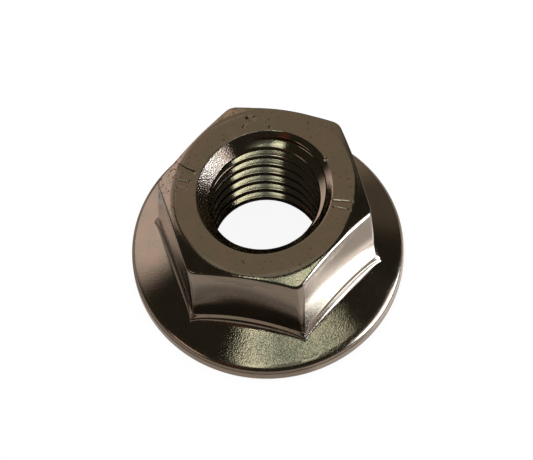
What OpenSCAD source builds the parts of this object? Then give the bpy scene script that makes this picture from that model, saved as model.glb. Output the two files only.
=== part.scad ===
// Hexagon flange lock nut, all metal, one piece.
// The nut stands on its flange with the bearing face on z = 0 and the thread axis on Z.
// Its top end is squeezed across one pair of flats, which pinches the thread and locks it.

/* [Thread] */
// Nominal diameter of the thread
thread_d = 12; // [10:0.5:13]
// Pitch of the thread
thread_pitch = 1.75; // [1:0.25:2]
// Diameter of the countersink on the top face
top_sink_d = 12.6; // [12:0.1:14]
// Diameter of the countersink on the bearing face
bottom_sink_d = 13; // [12:0.1:15]
// Angle of both countersinks, measured across the cone
sink_angle = 90; // [80:5:120]

/* [Hexagon] */
// Total height of the nut
nut_h = 13.7; // [12:0.1:16]
// Width across the flats
across_flats = 17.6; // [17:0.1:19]
// Width across the rounded corners
across_corners = 20; // [19.9:0.05:20.4]
// Diameter of the flat ring on the top face
top_face_d = 16.9; // [16:0.1:17.5]
// Angle of the corner chamfer, measured from the top face
chamfer_angle = 30; // [15:1:40]
// How far each flat flares out towards the flange
flare_out = 0.48; // [0.2:0.01:0.8]
// Height over which the flats flare out
flare_h = 6; // [4:0.1:7]

/* [Base step] */
// Height of the base step above the flange, at the middle of a flat
step_h = 1.35; // [0.8:0.05:2]
// Slope of the top of the base step
step_slope = 42; // [30:1:50]
// How much the corners of the base step are rounded off
step_corner_cut = 0.08; // [0:0.01:0.3]
// Radius of the fillet where the flange rises to the hexagon
foot_fillet_r = 0.8; // [0.4:0.05:1.2]

/* [Flange] */
// Diameter of the flange
flange_d = 26; // [25:0.1:30]
// Height of the straight side of the flange rim
rim_h = 1.3; // [0.8:0.1:2.2]
// Slope of the flange's upper face
flange_slope = 30; // [20:1:35]
// Radius on the upper edge of the rim
rim_top_r = 0.95; // [0.3:0.05:1.2]
// Radius on the lower edge of the rim
rim_bottom_r = 0.5; // [0.2:0.05:0.8]

/* [Lock] */
// How far each side of the top end is pressed in
lock_squeeze = 0.2; // [0.1:0.02:0.4]
// Length of bore at the top end that is pinched
lock_h = 4.5; // [3:0.1:6]

/* [Hidden] */
$fn = 96;

plated_steel = [0.46, 0.41, 0.34];
eps = 0.01;
overshoot = 1;

// Thread: the bore is drawn at the crests of the internal thread
thread_triangle_h = thread_pitch * sqrt(3) / 2;
bore_r = thread_d / 2 - thread_triangle_h * 5 / 8;

// Flange profile: straight rim, rounded edge, sloping face, fillet up to the hexagon
flange_r = flange_d / 2;
rim_edge_r = flange_r - rim_top_r * (1 - sin(flange_slope));
rim_edge_z = rim_h + rim_top_r * cos(flange_slope);
function flange_z(r) = rim_edge_z + (rim_edge_r - r) * tan(flange_slope);

// Hexagon: the flats at the top, and the wider base step that they flare out to
flat_r = across_flats / 2;
corner_r = across_corners / 2;
base_flat_r = flat_r + flare_out;
base_corner_r = base_flat_r / cos(30) - step_corner_cut;
step_z = flange_z(base_flat_r) + step_h;
flare_end_z = step_z - (base_corner_r - base_flat_r) * tan(step_slope);
flare_r = (flare_h * flare_h + flare_out * flare_out) / (2 * flare_out);

// Fillet between the flange's upper face and the base step
foot_r = base_flat_r + foot_fillet_r * (1 - sin(flange_slope));
foot_top_z = flange_z(foot_r) + foot_fillet_r * cos(flange_slope);

// Where the flats start to flare out, and where the bore starts to be pinched
flare_start_z = flare_end_z + flare_h;
lock_z = nut_h - lock_h;

// Outline of the flange on the right of the axis
module flange_outline() {
    difference() {
        union() {
            polygon([
                [0, 0],
                [flange_r - rim_bottom_r, 0],
                [flange_r, rim_bottom_r],
                [flange_r, rim_h],
                [rim_edge_r, rim_edge_z],
                [foot_r, flange_z(foot_r)],
                [base_flat_r, foot_top_z],
                [0, foot_top_z]
            ]);
            translate([flange_r - rim_bottom_r, rim_bottom_r])
                circle(r = rim_bottom_r);
            translate([flange_r - rim_top_r, rim_h])
                circle(r = rim_top_r);
        }
        translate([base_flat_r + foot_fillet_r, foot_top_z])
            circle(r = foot_fillet_r);
    }
}

// Upright side that flares out near the flange, as half an outline from the axis to reach.
// The squeezed pair of flats leans in above the flare.
module flared_side(reach, squeeze = 0) {
    difference() {
        polygon([
            [-overshoot, eps],
            [reach + flare_out, eps],
            [reach + flare_out, flare_end_z],
            [reach, flare_start_z],
            [reach - squeeze, nut_h],
            [-overshoot, nut_h]
        ]);
        translate([reach + flare_r, flare_start_z])
            circle(r = flare_r, $fn = 360);
    }
}

// Slab between one pair of opposite flats
module flat_pair(squeeze = 0) {
    for (side = [0, 1])
        mirror([side, 0, 0])
            rotate([90, 0, 0])
                linear_extrude(height = flange_d, center = true)
                    flared_side(flat_r, squeeze);
}

// Cone frustum that falls outwards from the circle of radius r at height z
module falling_cone(r, z, angle) {
    drop = (flange_r - r) * tan(angle);
    rotate_extrude()
        polygon([
            [0, eps],
            [flange_r, eps],
            [flange_r, max(z - drop, eps * 2)],
            [r, z],
            [0, z]
        ]);
}

// Hexagon with flared flats, rounded corners and the top chamfer
module hexagon() {
    intersection() {
        flat_pair(lock_squeeze);
        rotate([0, 0, 60])
            flat_pair();
        rotate([0, 0, 120])
            flat_pair();
        rotate_extrude()
            intersection() {
                flared_side(corner_r);
                square([flange_r, nut_h]);
            }
        falling_cone(top_face_d / 2, nut_h, chamfer_angle);
    }
}

// Low hexagonal step between the flats and the flange
module base_step() {
    intersection() {
        rotate([0, 0, 30])
            cylinder(r = base_flat_r / cos(30), h = step_z, $fn = 6);
        cylinder(r = base_corner_r, h = step_z);
        falling_cone(base_flat_r, step_z, step_slope);
    }
}

// Threaded hole, drawn at the thread's crests, with its pinched upper end
module thread_hole() {
    pinch_reach = bore_r + overshoot;
    translate([0, 0, -overshoot])
        cylinder(r = bore_r, h = lock_z + overshoot);
    intersection() {
        translate([0, 0, lock_z - eps])
            cylinder(r = bore_r, h = lock_h + overshoot);
        rotate([90, 0, 0])
            linear_extrude(height = 2 * pinch_reach, center = true)
                polygon([
                    [-bore_r, lock_z - overshoot],
                    [bore_r, lock_z - overshoot],
                    [bore_r, lock_z],
                    [bore_r - lock_squeeze, nut_h],
                    [bore_r - lock_squeeze, nut_h + overshoot],
                    [-bore_r + lock_squeeze, nut_h + overshoot],
                    [-bore_r + lock_squeeze, nut_h],
                    [-bore_r, lock_z]
                ]);
    }
}

// Conical lead-in, opening from the bore to sink_d over the face at z = 0
module countersink(sink_d) {
    slope = tan(sink_angle / 2);
    depth = (sink_d / 2 - bore_r + lock_squeeze) / slope;
    translate([0, 0, -overshoot])
        cylinder(
            r1 = sink_d / 2 + overshoot * slope,
            r2 = sink_d / 2 - depth * slope,
            h = depth + overshoot
        );
}

module flange_nut() {
    color(plated_steel)
        difference() {
            union() {
                rotate_extrude()
                    flange_outline();
                base_step();
                hexagon();
            }
            thread_hole();
            countersink(bottom_sink_d);
            translate([0, 0, nut_h])
                mirror([0, 0, 1])
                    countersink(top_sink_d);
        }
}

flange_nut();
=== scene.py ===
import math

import bpy
import numpy as np
from mathutils import Matrix, Vector


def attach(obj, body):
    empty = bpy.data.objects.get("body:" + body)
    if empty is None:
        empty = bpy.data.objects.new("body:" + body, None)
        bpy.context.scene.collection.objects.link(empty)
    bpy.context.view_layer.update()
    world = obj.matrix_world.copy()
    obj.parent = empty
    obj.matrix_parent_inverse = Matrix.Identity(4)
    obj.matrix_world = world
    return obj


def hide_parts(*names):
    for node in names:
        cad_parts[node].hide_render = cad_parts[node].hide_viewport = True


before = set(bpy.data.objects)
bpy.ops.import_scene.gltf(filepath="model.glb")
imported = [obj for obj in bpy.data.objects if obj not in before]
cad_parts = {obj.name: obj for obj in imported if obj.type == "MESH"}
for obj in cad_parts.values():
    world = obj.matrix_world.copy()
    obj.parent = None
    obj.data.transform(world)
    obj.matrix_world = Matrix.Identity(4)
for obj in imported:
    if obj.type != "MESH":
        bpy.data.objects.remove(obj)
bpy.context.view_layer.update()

mm = 0.001


# Nut shape, in mm, with the bearing face on z = 0

nutSizes = {
    "height": 13.7,
    "flatDistance": 8.73,      # from the axis to a flat, at the top
    "cornerBlend": 0.66,       # softness of the six upright corners at the top
    "footBlend": 0.22,         # and at the foot
    "squeeze": 0.2,            # how far the top end is pressed out of round
    "squeezeStart": 7.5,       # height where the squeeze begins
    "flatOffsets": (0, 0.06, -0.2, -0.08, 0.2, 0.02),    # the forged top end isn't quite regular
    "topRingRadius": 8.45,     # where the chamfer starts on the top face
    "chamferSlope": 0.6,
    "topEdgeRound": 0.24,
    "chamferEdgeRound": 0.35,
    "roundShare": 0.45,        # most of the chamfer's width that one of its edge rounds takes
    "sinkEdgeRound": 0.06,
    "flareOut": 0.39,
    "flareHeight": 8.3,
    "flareCurve": 1.0,         # 1 is a plain draft, 2 a hollow flare
    "ledgeHeight": 5.35,       # end of the flare, in the middle of a flat
    "ledgeSlope": 0.915,       # the ledge drops towards the corners
    "ledgeRound": 0.05,
    "bandOut": 0.13,           # the low upright band between ledge and flange
    "bandHeight": 0.46,
    "bandRound": 0.06,
    "cornerSpur": 0.22,        # the ledge runs out to a small point at each corner
    "spurWidth": 2.2,          # degrees
    "footRoundMiddle": 0.8,
    "footRoundCorner": 0.34,
    "flangeRadius": 12.935,
    "flangeShift": 0.06,       # the flange stands a little off the bore
    "flangeShiftAngle": -19.0,
    "flangeShiftStart": 9.6,   # the shift grows from this radius, below shiftTop
    "flangeShiftRun": 2.4,
    "shiftTop": 5,
    "rimHeight": 1.3,
    "rimTopRound": 1.0,
    "rimBottomRound": 0.5,
    "flangeAngle": 32.0,
}

threadSizes = {
    "pitch": 1.75,
    "crestRadius": 5.0528,
    "rootRadius": 6.03,
    "crestShare": 0.235,       # share of the pitch taken by the flat crest
    "rootShare": 0.13,
    "flankCurve": 0.02,
    "crestHeight": 12.28,      # middle of a crest at startAngle
    "startAngle": 134.0,
    "runOutStart": 12.5,       # above this height the thread gets shallower
    "runOutLength": 2.4,
    "runOutLeft": 0.5,         # share of the depth that is left at most run-out
    "topSinkRadius": 6.3,
    "bottomSinkRadius": 6.5,
    "edgeBlend": 0.08,
    "topMargin": 0.1,          # the thread's mesh ends this far inside the two faces
    "bottomMargin": 0.12,
    "rowsPerPitch": 16,
}

# Fineness of the mesh: columns around the nut, and rows along each part of its outline

meshLayout = {
    "columns": 480,
    "cornerCrowding": 2.2,     # extra columns at a corner
    "crowdWidth": 3.2,         # degrees
    "stepsPerColumn": 12,      # how finely the crowding is measured
    "flatCrowding": 1.15,      # above 1 the rows on a flat crowd towards the ledge
}

rowCounts = {
    "bearingFace": 5,
    "rimBottom": 7,
    "rimSide": 3,
    "rimTop": 10,
    "flangeFace": 10,
    "foot": 9,
    "bandSide": 1,
    "bandEdge": 4,
    "flat": 25,
    "topEdge": 6,
    "chamfer": 7,
    "chamferEdge": 5,
    "topFace": 26,
    "sinkEdge": 4,
}


def columnAngles():
    # Columns crowd together at the six corners, where the outline turns
    layout = meshLayout
    steps = np.linspace(0, 2 * math.pi, layout["columns"] * layout["stepsPerColumn"] + 1)
    corner = np.degrees(steps) % 60 - 30
    density = 1 + layout["cornerCrowding"] * np.exp(-(corner / layout["crowdWidth"]) ** 2)
    travelled = np.concatenate([[0], np.cumsum((density[1:] + density[:-1]) / 2)])
    share = np.linspace(0, travelled[-1], layout["columns"], endpoint=False)
    return np.interp(share, travelled, steps)


def softMin(a, b, blend):
    # The smaller of the two, with the crease between them rounded off
    overlap = np.maximum(blend - np.abs(a - b), 0)
    return np.minimum(a, b) - overlap ** 2 / (4 * blend)


def hexagonRadius(angles, distance, blend, offsetShare=0):
    # Distance from the axis to the hexagon whose flats stand at distance
    flat = np.round(np.degrees(angles) / 60).astype(int)
    off = angles - np.radians(flat * 60)
    side = np.where(off < 0, -1, 1)
    offsets = np.array(nutSizes["flatOffsets"]) * offsetShare
    near = (distance + offsets[flat % 6]) / np.cos(off)
    other = (distance + offsets[(flat + side) % 6]) / np.cos(off - side * math.radians(60))
    return softMin(near, other, blend)


def cornerPath(before, corner, after, reach, count):
    # Round arc that replaces a corner, starting reach before it
    towards = before - corner
    towards = towards / np.linalg.norm(towards, axis=-1, keepdims=True)
    onwards = after - corner
    onwards = onwards / np.linalg.norm(onwards, axis=-1, keepdims=True)
    turn = math.pi - np.arccos(np.clip((towards * onwards).sum(-1, keepdims=True), -1, 1))
    reach = np.broadcast_to(np.asarray(reach, float).reshape(-1, 1), turn.shape)
    handle = 1 - 4 / 3 * np.tan(turn / 4) / np.tan(turn / 2)
    start, end = corner + towards * reach, corner + onwards * reach
    leave, arrive = corner + towards * reach * handle, corner + onwards * reach * handle
    rows = []
    for t in np.linspace(0, 1, count):
        u = 1 - t
        rows.append(u ** 3 * start + 3 * u * u * t * leave + 3 * u * t * t * arrive + t ** 3 * end)
    return rows


def straightPath(start, end, count):
    # Rows strictly between two rows
    return [start + (end - start) * (i + 1) / (count + 1) for i in range(count)]


def outerRows(angles):
    # Rows of (radius, height) from the bearing face, over the rim and up to the top face
    s = nutSizes
    rowsIn = rowCounts
    n = len(angles)
    slope = math.tan(math.radians(s["flangeAngle"]))
    rimEdge = s["flangeRadius"] - s["rimTopRound"] * (1 - math.sin(math.radians(s["flangeAngle"])))
    rimEdgeZ = s["rimHeight"] + s["rimTopRound"] * math.cos(math.radians(s["flangeAngle"]))
    rimTurn = math.tan(math.radians(90 - s["flangeAngle"]) / 2)

    def ring(r, z):
        return np.stack([np.broadcast_to(r, n), np.broadcast_to(z, n)], -1).astype(float)

    def flangeZ(r):
        return rimEdgeZ + (rimEdge - r) * slope

    inner = ring(threadSizes["bottomSinkRadius"], 0)
    base = ring(s["flangeRadius"], 0)
    rim = ring(s["flangeRadius"], flangeZ(s["flangeRadius"]))

    flareEnd = hexagonRadius(angles, s["flatDistance"] + s["flareOut"], s["footBlend"])
    ledgeZ = s["ledgeHeight"] - (flareEnd - s["flatDistance"] - s["flareOut"]) * s["ledgeSlope"]
    bandEnd = hexagonRadius(angles, s["flatDistance"] + s["flareOut"] + s["bandOut"], s["footBlend"])
    offCorner = np.degrees(angles) % 60 - 30
    bandEnd = bandEnd + s["cornerSpur"] * np.exp(-np.abs(offCorner) / s["spurWidth"])
    cornerShare = (flareEnd - flareEnd.min()) / (flareEnd.max() - flareEnd.min())
    footRound = s["footRoundMiddle"] + (s["footRoundCorner"] - s["footRoundMiddle"]) * cornerShare
    foot = ring(bandEnd, flangeZ(bandEnd))
    bandLow = ring(bandEnd, ledgeZ - s["bandHeight"])
    bandTop = ring(flareEnd, ledgeZ)
    flatAbove = bandTop + ring(-0.1, 1)    # a point up the flat, for its direction

    # Flange, and the band between its upper face and the flats
    rows = straightPath(inner, base, rowsIn["bearingFace"] + 1)[:-1]
    rows += cornerPath(rows[-1], base, rim, s["rimBottomRound"], rowsIn["rimBottom"])
    rimArc = cornerPath(base, rim, foot, s["rimTopRound"] * rimTurn, rowsIn["rimTop"])
    rows += straightPath(rows[-1], rimArc[0], rowsIn["rimSide"]) + rimArc
    footArc = cornerPath(rim, foot, bandLow, footRound * rimTurn, rowsIn["foot"])
    rows += straightPath(rows[-1], footArc[0], rowsIn["flangeFace"]) + footArc
    bandLowArc = cornerPath(foot, bandLow, bandTop, s["bandRound"], rowsIn["bandEdge"])
    bandTopArc = cornerPath(bandLow, bandTop, flatAbove, s["ledgeRound"], rowsIn["bandEdge"])
    rows += straightPath(rows[-1], bandLowArc[0], rowsIn["bandSide"]) + bandLowArc
    rows += straightPath(rows[-1], bandTopArc[0], rowsIn["bandSide"]) + bandTopArc[:-1]

    # Flats, which lean in as they rise
    top = hexagonRadius(angles, s["flatDistance"], s["cornerBlend"], 1)
    edge = ring(top, s["height"] - (top - s["topRingRadius"]) * s["chamferSlope"])
    topRing = ring(s["topRingRadius"], s["height"])
    widestRound = s["roundShare"] * (top - s["topRingRadius"])
    edgeReach = np.minimum(s["topEdgeRound"], widestRound)
    edgeArc = cornerPath(edge - ring(0, 1), edge, topRing, edgeReach, rowsIn["topEdge"])
    startZ, endZ = rows[-1][:, 1], edgeArc[0][:, 1]
    for share in np.linspace(0, 1, rowsIn["flat"] + 2)[1:-1]:
        z = startZ + (endZ - startZ) * share ** meshLayout["flatCrowding"]
        rise = np.clip((ledgeZ + s["flareHeight"] - z) / s["flareHeight"], 0, 1)
        flat = s["flatDistance"] + s["flareOut"] * rise ** s["flareCurve"]
        blend = s["footBlend"] + (s["cornerBlend"] - s["footBlend"]) * share
        rows.append(ring(hexagonRadius(angles, flat, blend, share), z))
    rows += edgeArc

    # Chamfer, top face and the edge of the countersink
    sinkEdge = ring(threadSizes["topSinkRadius"], s["height"])
    ringReach = np.minimum(s["chamferEdgeRound"], widestRound)
    ringArc = cornerPath(edge, topRing, sinkEdge, ringReach, rowsIn["chamferEdge"])
    rows += straightPath(edgeArc[-1], ringArc[0], rowsIn["chamfer"]) + ringArc
    downSink = sinkEdge - ring(1, 1)
    sinkArc = cornerPath(topRing, sinkEdge, downSink, s["sinkEdgeRound"], rowsIn["sinkEdge"])
    rows += straightPath(rows[-1], sinkArc[0], rowsIn["topFace"]) + sinkArc
    return rows


def threadRadius(angles, z):
    t = threadSizes
    turns = (angles - math.radians(t["startAngle"])) / (2 * math.pi)
    phase = ((z - t["crestHeight"]) / t["pitch"] - turns + 0.5) % 1 - 0.5
    crest, root = t["crestShare"] / 2, 0.5 - t["rootShare"] / 2
    depth = np.clip((np.abs(phase) - crest) / (root - crest), 0, 1)
    depth = depth + t["flankCurve"] * np.sin(depth * math.pi * 2)
    depth = depth * np.clip(1 - (z - t["runOutStart"]) / t["runOutLength"], t["runOutLeft"], 1)
    groove = t["crestRadius"] + (t["rootRadius"] - t["crestRadius"]) * depth
    topSink = t["topSinkRadius"] - (nutSizes["height"] - z)
    bottomSink = t["bottomSinkRadius"] - z
    sink = np.maximum(topSink, bottomSink)
    return -softMin(-groove, -sink, t["edgeBlend"])


def pressShape(x, y, z):
    # The top end is pressed slightly oval, in across X and out across Y, and the flange moves off the axis
    s = nutSizes
    rise = np.clip((z - s["squeezeStart"]) / (s["height"] - s["squeezeStart"]), 0, 1)
    amount = s["squeeze"] * rise * rise * (3 - 2 * rise)
    angle = np.arctan2(y, x)
    radial = -amount * np.cos(2 * angle)
    along = 0.5 * amount * np.sin(2 * angle)
    away = np.clip((np.hypot(x, y) - s["flangeShiftStart"]) / s["flangeShiftRun"], 0, 1)
    spread = away * (z < s["shiftTop"]) * s["flangeShift"]
    lean = math.radians(s["flangeShiftAngle"])
    x2 = x + radial * np.cos(angle) - along * np.sin(angle) + spread * math.cos(lean)
    y2 = y + radial * np.sin(angle) + along * np.cos(angle) + spread * math.sin(lean)
    return x2, y2, z


# Stamped strokes on the top face: plain bars, nicks and one punched dot.
# Each has the angle and radius of its middle, its length, the angle it points to, its width and depth.

stampMarks = {
    "dot": {"angle": 141, "radius": 7.7, "length": 0.1, "points": 51, "width": 0.62, "depth": 0.12},
    "dotTail": {"angle": 146, "radius": 7.1, "length": 0.6, "points": 99, "width": 0.16, "depth": 0.05},
    "left": {"angle": 203, "radius": 7.49, "length": 1.35, "points": 14, "width": 0.28, "depth": 0.14},
    "leftTwo": {"angle": 212, "radius": 7.5, "length": 1.05, "points": 31, "width": 0.2, "depth": 0.1},
    "leftThree": {"angle": 217.5, "radius": 7.6, "length": 0.7, "points": 35, "width": 0.2, "depth": 0.1},
    "right": {"angle": 33, "radius": 7.2, "length": 1.65, "points": 36, "width": 0.2, "depth": 0.1},
    "rightTwo": {"angle": 27, "radius": 7.25, "length": 1.35, "points": 29, "width": 0.2, "depth": 0.1},
    "rightFaint": {"angle": 59.5, "radius": 7.75, "length": 0.9, "points": 38, "width": 0.12, "depth": 0.03},
    "sinkNick": {"angle": 72, "radius": 6.5, "length": 0.2, "points": 30, "width": 0.24, "depth": 0.12},
    "backNick": {"angle": 126.5, "radius": 6.65, "length": 0.3, "points": 127, "width": 0.14, "depth": 0.08},
}

stampEdge = {
    "burr": 0.25,              # height of the burr, as a share of the stroke's depth
    "burrAway": 1.9,           # its distance, in half widths of the stroke
    "burrSpread": 0.6,
    "below": 0.3,              # strokes fade out this far under the top face
    "fade": 0.2,
    "innerRadius": 6.2,
}


def stampTop(x, y, z):
    # Each stroke sinks into the top face, and the burr along its sides rises no higher than that face
    e = stampEdge
    drop = np.zeros(len(z))
    for mark in stampMarks.values():
        spot, way = math.radians(mark["angle"]), math.radians(mark["points"])
        dx = x - mark["radius"] * math.cos(spot)
        dy = y - mark["radius"] * math.sin(spot)
        along = np.abs(dx * math.cos(way) + dy * math.sin(way)) - mark["length"] / 2
        across = np.abs(-dx * math.sin(way) + dy * math.cos(way))
        away = np.hypot(np.maximum(along, 0), across) / (mark["width"] / 2)
        burr = e["burr"] * np.exp(-((away - e["burrAway"]) / e["burrSpread"]) ** 2)
        drop += mark["depth"] * (np.exp(-away ** 2) - burr)
    onTop = np.clip((z - nutSizes["height"] + e["below"]) / e["fade"], 0, 1)
    onTop = onTop * (np.hypot(x, y) > e["innerRadius"])
    return np.minimum(z - drop * onTop, nutSizes["height"])


def buildNut():
    angles = columnAngles()
    columns = len(angles)
    points, faces = [], []

    def addPoints(theta, r, z):
        start = sum(len(p) for p in points)
        points.append(np.stack([r * np.cos(theta), r * np.sin(theta), z + 0 * theta], -1))
        return np.arange(start, start + len(theta))

    ids = [addPoints(angles, row[:, 0], row[:, 1]) for row in outerRows(angles)]
    for low, high in zip(ids[:-1], ids[1:]):
        for j in range(columns):
            k = (j + 1) % columns
            faces.append((low[j], low[k], high[k], high[j]))

    # Inside the hole the rows climb with the thread, on every second column
    t = threadSizes
    inner = angles[::2]
    half = len(inner)
    zHigh = nutSizes["height"] - t["topMargin"]
    zLow = t["bottomMargin"]
    topRing = addPoints(inner, np.full(half, t["topSinkRadius"] - t["topMargin"]), np.full(half, zHigh))
    bottomRing = addPoints(inner, np.full(half, t["bottomSinkRadius"] - zLow), np.full(half, zLow))
    first, last = ids[0], ids[-1]
    for j in range(half):
        k = (j + 1) % half
        a, b, c = 2 * j, 2 * j + 1, (2 * j + 2) % columns
        faces += [(last[a], last[b], topRing[j]), (last[b], topRing[k], topRing[j]),
                  (last[b], last[c], topRing[k])]
        faces += [(first[b], first[a], bottomRing[j]), (bottomRing[k], first[b], bottomRing[j]),
                  (first[c], first[b], bottomRing[k])]

    step = t["pitch"] / t["rowsPerPitch"]
    climb = t["pitch"] * inner / (2 * math.pi)
    rowTotal = t["rowsPerPitch"] + math.ceil((zHigh - zLow) / step) + 1
    near = 0.01    # rows this close to an end ring are drawn onto it
    grid = []
    for i in range(rowTotal):
        z = zLow - t["pitch"] + step * i + climb
        row = addPoints(inner, threadRadius(inner, z), z)
        row = np.where(z <= zLow + near, bottomRing, np.where(z >= zHigh - near, topRing, row))
        grid.append(row)
    for i in range(rowTotal - 1):
        for j in range(half):
            shift = t["rowsPerPitch"] if j == half - 1 else 0    # the last column meets the next turn
            if i + 1 + shift >= rowTotal:
                continue
            k = (j + 1) % half
            corners = [grid[i + 1][j], grid[i + 1 + shift][k], grid[i + shift][k], grid[i][j]]
            face = [c for n, c in enumerate(corners) if c != corners[n - 1]]
            if len(face) > 2:
                faces.append(tuple(face))

    co = np.concatenate(points)
    x, y, z = pressShape(co[:, 0], co[:, 1], co[:, 2])
    z = stampTop(x, y, z)
    co = np.stack([x, y, z], -1) * mm
    used = np.unique(np.concatenate([np.array(f) for f in faces]))
    place = -np.ones(len(co), int)
    place[used] = np.arange(len(used))
    mesh = bpy.data.meshes.new("nut")
    mesh.from_pydata(co[used].tolist(), [], [tuple(place[list(f)]) for f in faces])
    mesh.validate()
    mesh.polygons.foreach_set("use_smooth", [True] * len(mesh.polygons))
    nut = bpy.data.objects.new("nut", mesh)
    bpy.context.scene.collection.objects.link(nut)
    return nut


# Plating

steelLook = {
    "plate": (0.33, 0.26, 0.2),
    "greenish": (0.31, 0.265, 0.195),
    "mottleSize": 1.6,         # mm, patches of the two tints
    "mottleDetail": 4,
    "mottleRange": (0.4, 0.62),
    "rusty": (0.17, 0.1, 0.06),
    "speckSize": 0.34,         # mm
    "speckDetail": 3,
    "speckRoughness": 0.6,
    "speckRange": (0.69, 0.76),
    "speckDull": 0.3,
    "pitting": 0.12,           # how far a pitted area lowers the bar for a speck
    "fleck": (0.08, 0.07, 0.055),
    "fleckRange": (0.42, 0.6),
    "fleckShare": 0.28,
    "smooth": 0.05,
    "dull": 0.13,
    "rubbed": 0.4,
    "grainSize": 0.13,         # mm
    "grainDetail": 2,
    "grainDepth": 0.013,       # mm
}


def addMath(tree, operation, *values, clamp=False):
    # A value is a number or another node's output
    node = tree.nodes.new("ShaderNodeMath")
    node.operation = operation
    node.use_clamp = clamp
    for socket, value in zip(node.inputs, values):
        if isinstance(value, (int, float)):
            socket.default_value = value
        else:
            tree.links.new(value, socket)
    return node.outputs[0]


def addRange(tree, value, lowHigh=(0, 1), start=0, end=1):
    node = tree.nodes.new("ShaderNodeMapRange")
    settings = {"From Min": lowHigh[0], "From Max": lowHigh[1], "To Min": start, "To Max": end}
    for name, setting in settings.items():
        node.inputs[name].default_value = setting
    tree.links.new(value, node.inputs["Value"])
    return node.outputs[0]


def addNoise(tree, place, size, detail, roughness=0.5):
    node = tree.nodes.new("ShaderNodeTexNoise")
    node.inputs["Scale"].default_value = 1 / (size * mm)
    node.inputs["Detail"].default_value = detail
    node.inputs["Roughness"].default_value = roughness
    tree.links.new(place, node.inputs["Vector"])
    return node.outputs["Fac"]


def addTint(tree, share, under, over):
    # Mixes from under, a colour or an output, to the colour over
    node = tree.nodes.new("ShaderNodeMix")
    node.data_type = "RGBA"
    tree.links.new(share, node.inputs[0])
    if isinstance(under, tuple):
        node.inputs[6].default_value = (*under, 1)
    else:
        tree.links.new(under, node.inputs[6])
    node.inputs[7].default_value = (*over, 1)
    return node.outputs[2]


def makeSteel():
    look = steelLook
    steel = bpy.data.materials.new("platedSteel")
    steel.use_nodes = True
    tree = steel.node_tree
    shader = tree.nodes["Principled BSDF"]
    shader.inputs["Metallic"].default_value = 1
    place = tree.nodes.new("ShaderNodeTexCoord").outputs["Object"]
    finish = tree.nodes.new("ShaderNodeVertexColor")
    finish.layer_name = "finish"
    areas = tree.nodes.new("ShaderNodeSeparateColor")
    tree.links.new(finish.outputs["Color"], areas.inputs[0])
    grainy, pitted, dull = areas.outputs

    mottle = addNoise(tree, place, look["mottleSize"], look["mottleDetail"])
    patches = addRange(tree, mottle, look["mottleRange"])
    specks = addNoise(tree, place, look["speckSize"], look["speckDetail"], look["speckRoughness"])
    specks = addMath(tree, "MULTIPLY_ADD", pitted, look["pitting"], specks)
    spots = addRange(tree, specks, look["speckRange"])
    grain = addNoise(tree, place, look["grainSize"], look["grainDetail"])
    flecks = addRange(tree, grain, look["fleckRange"], 0, look["fleckShare"])
    flecks = addMath(tree, "MULTIPLY", flecks, patches)
    flecks = addMath(tree, "MULTIPLY", flecks, grainy, clamp=True)

    colour = addTint(tree, patches, look["plate"], look["greenish"])
    colour = addTint(tree, flecks, colour, look["fleck"])
    colour = addTint(tree, spots, colour, look["rusty"])
    tree.links.new(colour, shader.inputs["Base Color"])

    rough = addRange(tree, mottle, start=look["smooth"], end=look["dull"])
    rough = addMath(tree, "MULTIPLY_ADD", spots, look["speckDull"], rough)
    rough = addMath(tree, "MULTIPLY_ADD", dull, look["rubbed"], rough)
    tree.links.new(rough, shader.inputs["Roughness"])

    bump = tree.nodes.new("ShaderNodeBump")
    bump.inputs["Distance"].default_value = look["grainDepth"] * mm
    tree.links.new(addMath(tree, "MULTIPLY", grain, grainy), bump.inputs["Height"])
    tree.links.new(bump.outputs[0], shader.inputs["Normal"])
    return steel


# Where the plating is grainy, pitted or dull. Radii and heights are in mm, angles in degrees.

plateAreas = {
    "plainGrain": 0.35,
    "topFaceAbove": 13.6,
    "topFaceGrain": 0.4,
    "topFacePits": 0.5,
    "sinkRadius": 6.35,
    "sinkAbove": 12.5,
    "sinkThickness": 0.3,      # how near to the countersink's cone a point counts as on it
    "sinkGrain": 0.5,
    "sinkSparkle": 2.2,        # extra grain on the countersink, around sinkAngle
    "sinkAngle": 218,
    "sinkCore": 1.6,           # above 1 the middle of the area is all at full strength
    "sinkFade": 40,
    "chamferRadius": 8.3,
    "chamferHeights": (12.3, 13.62),
    "chamferGrain": 1.0,
    "leftPits": 1.1,           # on the chamfer, within leftReach of leftAngle
    "leftAngle": 185,
    "leftReach": 50,
    "flangeRadius": 9.6,
    "flangeBelow": 4.6,
    "flangeGrain": 0.6,
    "frontGrain": 1.1,         # extra grain on the flange, around frontAngle
    "frontAngle": -38,
    "frontCore": 1.5,
    "frontFade": 32,
    "rimRadius": 12.35,
    "rimBelow": 2.3,
    "rimGrain": 0.4,
    "rimDull": 0.2,
}


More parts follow.
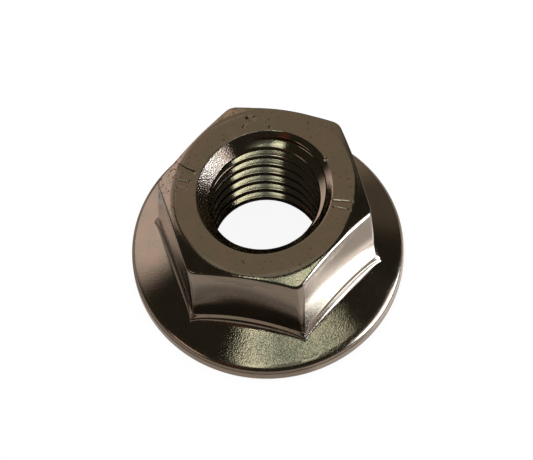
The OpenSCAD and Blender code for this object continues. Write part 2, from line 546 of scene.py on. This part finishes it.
def paintFinish(mesh):
    # Red holds how grainy the surface is, green how pitted, blue how dull
    a = plateAreas
    co = np.empty(len(mesh.vertices) * 3)
    mesh.vertices.foreach_get("co", co)
    x, y, z = co.reshape(-1, 3).T / mm
    r = np.hypot(x, y)
    azimuth = np.degrees(np.arctan2(y, x))

    def turnFrom(angle):
        return np.abs((azimuth - angle + 180) % 360 - 180)

    # The countersink is the cone from topSinkRadius down at 45 degrees
    offSink = np.abs(r - z + nutSizes["height"] - threadSizes["topSinkRadius"])
    topSink = (offSink < a["sinkThickness"]) & (r < a["sinkRadius"]) & (z > a["sinkAbove"])
    topFace = z > a["topFaceAbove"]
    chamfer = (r > a["chamferRadius"]) & (z > a["chamferHeights"][0]) & (z <= a["chamferHeights"][1])
    flange = (r > a["flangeRadius"]) & (z < a["flangeBelow"])
    rim = (r > a["rimRadius"]) & (z < a["rimBelow"])
    sinkLeft = np.clip(a["sinkCore"] - turnFrom(a["sinkAngle"]) / a["sinkFade"], 0, 1)
    front = np.clip(a["frontCore"] - turnFrom(a["frontAngle"]) / a["frontFade"], 0, 1)

    grain = np.full(len(x), a["plainGrain"])
    grain[topFace] = a["topFaceGrain"]
    grain[topSink] = a["sinkGrain"] + a["sinkSparkle"] * sinkLeft[topSink]
    grain[chamfer] = a["chamferGrain"]
    grain[flange] = a["flangeGrain"] + a["frontGrain"] * front[flange]
    grain[rim] = a["rimGrain"]
    pits = np.zeros(len(x))
    pits[topSink] = sinkLeft[topSink]
    pits[topFace] = a["topFacePits"]
    pits[chamfer & (turnFrom(a["leftAngle"]) < a["leftReach"])] = a["leftPits"]
    dull = np.where(rim, a["rimDull"], 0)
    finish = mesh.color_attributes.new("finish", "FLOAT_COLOR", "POINT")
    finish.data.foreach_set("color", np.stack([grain, pits, dull, np.ones(len(x))], -1).ravel())


nut = buildNut()
triangles = sum(len(p.vertices) - 2 for p in nut.data.polygons)
print("nut built:", len(nut.data.vertices), "vertices,", triangles, "triangles")
paintFinish(nut.data)
nut.data.materials.append(makeSteel())
print("nut plated")
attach(nut, "root")
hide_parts("flange_nut")


# Camera

cameraView = {
    "azimuth": -46.02,         # degrees, from +X
    "elevation": 64.85,
    "distance": 0.29296,       # metres, from the bearing face's centre
    "tiltUp": 0.469,
    "roll": 3.105,
    "lens": 207.14,
    "sensorWidth": 36,
    "nearest": 0.01,
}


def placeCamera():
    c = cameraView
    azimuth, elevation = math.radians(c["azimuth"]), math.radians(c["elevation"])
    camera = bpy.data.objects.new("camera", bpy.data.cameras.new("camera"))
    bpy.context.scene.collection.objects.link(camera)
    spot = Vector((math.cos(azimuth) * math.cos(elevation), math.sin(azimuth) * math.cos(elevation),
                   math.sin(elevation))) * c["distance"]
    turn = Matrix.Rotation(azimuth + math.pi / 2, 4, "Z")
    tilt = Matrix.Rotation(math.pi / 2 - elevation + math.radians(c["tiltUp"]), 4, "X")
    roll = Matrix.Rotation(-math.radians(c["roll"]), 4, "Z")
    camera.matrix_world = Matrix.Translation(spot) @ turn @ tilt @ roll
    camera.data.lens = c["lens"]
    camera.data.sensor_width = c["sensorWidth"]
    camera.data.clip_start = c["nearest"]
    bpy.context.scene.camera = camera


placeCamera()
print("camera placed")


# Studio

floorLook = {
    "reach": 2.0,              # metres from the middle to an edge
    "paper": (0.13, 0.13, 0.13),
    "lift": 0.91,              # keeps the background white for camera, gloss and glass
}


def makeFloor():
    reach = floorLook["reach"]
    mesh = bpy.data.meshes.new("floor")
    corners = [(-reach, -reach, 0), (reach, -reach, 0), (reach, reach, 0), (-reach, reach, 0)]
    mesh.from_pydata(corners, [], [(0, 1, 2, 3)])
    floor = bpy.data.objects.new("floor", mesh)
    bpy.context.scene.collection.objects.link(floor)
    paper = bpy.data.materials.new("whitePaper")
    paper.use_nodes = True
    tree = paper.node_tree
    tree.nodes.remove(tree.nodes["Principled BSDF"])
    matt = tree.nodes.new("ShaderNodeBsdfDiffuse")
    matt.inputs["Color"].default_value = (*floorLook["paper"], 1)
    ray = tree.nodes.new("ShaderNodeLightPath").outputs
    mirrored = addMath(tree, "MAXIMUM", ray["Is Glossy Ray"], ray["Is Transmission Ray"])
    seen = addMath(tree, "MAXIMUM", ray["Is Camera Ray"], mirrored)
    glow = tree.nodes.new("ShaderNodeEmission")
    tree.links.new(addMath(tree, "MULTIPLY", seen, floorLook["lift"]), glow.inputs["Strength"])
    both = tree.nodes.new("ShaderNodeAddShader")
    tree.links.new(matt.outputs[0], both.inputs[0])
    tree.links.new(glow.outputs[0], both.inputs[1])
    tree.links.new(both.outputs[0], tree.nodes["Material Output"].inputs["Surface"])
    floor.data.materials.append(paper)


makeFloor()
print("floor laid")


# The room that the metal mirrors: soft cards painted over dark walls, later ones on top.
# middle and size are (azimuth, elevation) in degrees as seen from the nut, and soft is the width
# of a card's faded edge, one number or one for each of the two.

roomWall = (0.04, 0.038, 0.03)

roomCards = {
    "ceiling": {"middle": (-90, 82), "size": (400, 28), "soft": 8, "glow": (0.42, 0.4, 0.36)},
    "rightBack": {"middle": (99, 14), "size": (50, 52), "soft": 12, "glow": (0.15, 0.13, 0.11)},
    "farTable": {"middle": (-90, -7), "size": (400, 14), "soft": 3, "glow": (0.06, 0.065, 0.07)},
    "table": {"middle": (-90, -26), "size": (400, 14), "soft": 4, "glow": (0.5, 0.45, 0.42)},
    "leftShade": {"middle": (165, -26), "size": (50, 16), "soft": 6, "glow": (0.26, 0.22, 0.19)},
    "backWall": {"middle": (134, 36), "size": (70, 84), "soft": 10, "glow": (0.35, 0.305, 0.245)},
    "backLamp": {"middle": (149, 53), "size": (26, 16), "soft": 6, "glow": (0.47, 0.43, 0.4)},
    "backLow": {"middle": (153, 4), "size": (24, 24), "soft": 6, "glow": (0.75, 0.62, 0.52)},
    "leftHigh": {"middle": (187, 38), "size": (44, 32), "soft": 10, "glow": (0.5, 0.45, 0.4)},
    "leftWall": {"middle": (187, 12), "size": (45, 42), "soft": 20, "glow": (1.2, 1.05, 1.05)},
    "redCloth": {"middle": (-71, 21), "size": (14, 14), "soft": 5, "glow": (0.2, 0.06, 0.04)},
    "lowGlow": {"middle": (-101, 8), "size": (22, 12), "soft": 4, "glow": (1.3, 1.0, 0.9)},
    "frontHaze": {"middle": (-36, 44), "size": (64, 18), "soft": 8, "glow": (0.2, 0.24, 0.2)},
    "frontStrip": {"middle": (-42, 48.5), "size": (52, 8), "soft": 2, "glow": (2.0, 2.35, 2.1)},
    "leftLamp": {"middle": (-60, 46), "size": (16, 14), "soft": 5, "glow": (2.7, 3.05, 2.65)},
    "rightStrip": {"middle": (-3, 48.5), "size": (34, 6), "soft": 3, "glow": (3.0, 3.4, 2.9)},
    "stripGap": {"middle": (-40, 50), "size": (14, 12), "soft": 6, "glow": (0.3, 0.38, 0.34)},
    "litTable": {"middle": (14, -28), "size": (88, 12), "soft": 4, "glow": (0.72, 0.68, 0.66)},
    "nutShadow": {"middle": (-90, -28.7), "size": (400, 0.6), "soft": 0.2, "glow": (0.05, 0.05, 0.05)},
    "windowSpill": {"middle": (24, -28.7), "size": (50, 0.6), "soft": (16, 0.2), "glow": (2.4, 2.3, 2.3)},
    "windowSide": {"middle": (20, -5), "size": (34, 34), "soft": 3, "glow": (1.6, 1.65, 1.7)},
    "windowTop": {"middle": (27, 13), "size": (36, 24), "soft": 5, "glow": (2.6, 2.5, 2.7)},
    "window": {"middle": (25, -5), "size": (34, 26), "soft": 4, "glow": (14, 18, 24)},
}


def roomGlow(azimuth, elevation):
    glow = np.empty(azimuth.shape + (3,))
    glow[:] = roomWall
    for card in roomCards.values():
        across = np.abs((azimuth - card["middle"][0] + 180) % 360 - 180)
        up = np.abs(elevation - card["middle"][1])
        cover = 1
        for away, size, soft in zip((across, up), card["size"], np.broadcast_to(card["soft"], 2)):
            step = np.clip((size / 2 - away) / soft + 0.5, 0, 1)
            cover = cover * step * step * (3 - 2 * step)
        glow += (np.array(card["glow"]) - glow) * cover[..., None]
    return glow


# The dome stands around the nut, and its lowest rows are a ring on the floor

roomSizes = {
    "eye": 0.008,              # metres, height of the cards' zero elevation
    "ringHeight": 0.0004,
    "reach": 0.6,
    "columnStep": 2.5,         # degrees
    "shadowRows": (-30.4, -29.1, -28.7),
    "lowestRow": -27.2,
    "floorBelow": -1,          # rows under this elevation may come down to the ring
    "rows": 60,
    "holeRadius": 0.0062,
    # the disc under the hole is painted shade, the table in shadow there
    "holeShade": 0.03,
}


def makeRoom():
    size = roomSizes
    levels = [*size["shadowRows"], *np.linspace(size["lowestRow"], 90, size["rows"])]
    azimuth, elevation = np.meshgrid(np.arange(0, 360, size["columnStep"]), levels)
    turn, lift = np.radians(azimuth), np.radians(elevation)
    down = (size["eye"] - size["ringHeight"]) / np.maximum(np.sin(-lift), 1e-6)
    away = np.where(elevation < size["floorBelow"], np.minimum(down, size["reach"]), size["reach"])
    points = np.stack([away * np.cos(lift) * np.cos(turn), away * np.cos(lift) * np.sin(turn),
                       size["eye"] + away * np.sin(lift)], -1)
    high, wide = azimuth.shape
    faces = []
    for i in range(high - 1):
        for j in range(wide):
            k = (j + 1) % wide
            faces.append((i * wide + j, i * wide + k, (i + 1) * wide + k, (i + 1) * wide + j))
    faces.append(tuple(range(high * wide, high * wide + wide)))    # painted shade: a dark disc for the table in shadow under the hole
    hole = np.stack([size["holeRadius"] * np.cos(turn[0]), size["holeRadius"] * np.sin(turn[0]),
                     np.full(wide, size["ringHeight"])], -1)
    points = np.concatenate([points.reshape(-1, 3), hole])
    mesh = bpy.data.meshes.new("room")
    mesh.from_pydata(points.tolist(), [], faces)
    paint = mesh.color_attributes.new("glow", "FLOAT_COLOR", "POINT")
    glow = np.concatenate([roomGlow(azimuth, elevation).reshape(-1, 3), np.full((wide, 3), size["holeShade"])])
    paint.data.foreach_set("color", np.concatenate([glow, np.ones((len(glow), 1))], 1).ravel())
    room = bpy.data.objects.new("room", mesh)
    bpy.context.scene.collection.objects.link(room)

    # Gloss sees the dome. The camera and matt surfaces don't, and it throws no shadow.
    room.visible_camera = False
    room.visible_diffuse = False
    room.visible_shadow = False
    lit = bpy.data.materials.new("roomLight")
    lit.use_nodes = True
    lit.cycles.emission_sampling = "NONE"
    nodes, links = lit.node_tree.nodes, lit.node_tree.links
    nodes.remove(nodes["Principled BSDF"])
    colour = nodes.new("ShaderNodeVertexColor")
    colour.layer_name = "glow"
    shine = nodes.new("ShaderNodeEmission")
    links.new(colour.outputs["Color"], shine.inputs["Color"])
    links.new(shine.outputs[0], nodes["Material Output"].inputs["Surface"])
    room.data.materials.append(lit)


makeRoom()
print("room hung with", len(roomCards), "cards")


# Soft even light from all around, which the metal doesn't mirror

worldColour = (0.9, 0.9, 0.9)


def lightWorld():
    world = bpy.data.worlds.new("studio")
    bpy.context.scene.world = world
    world.use_nodes = True
    world.node_tree.nodes["Background"].inputs["Color"].default_value = (*worldColour, 1)
    world.cycles_visibility.glossy = False


lightWorld()
bpy.context.scene.view_settings.view_transform = "Standard"
print("studio ready")
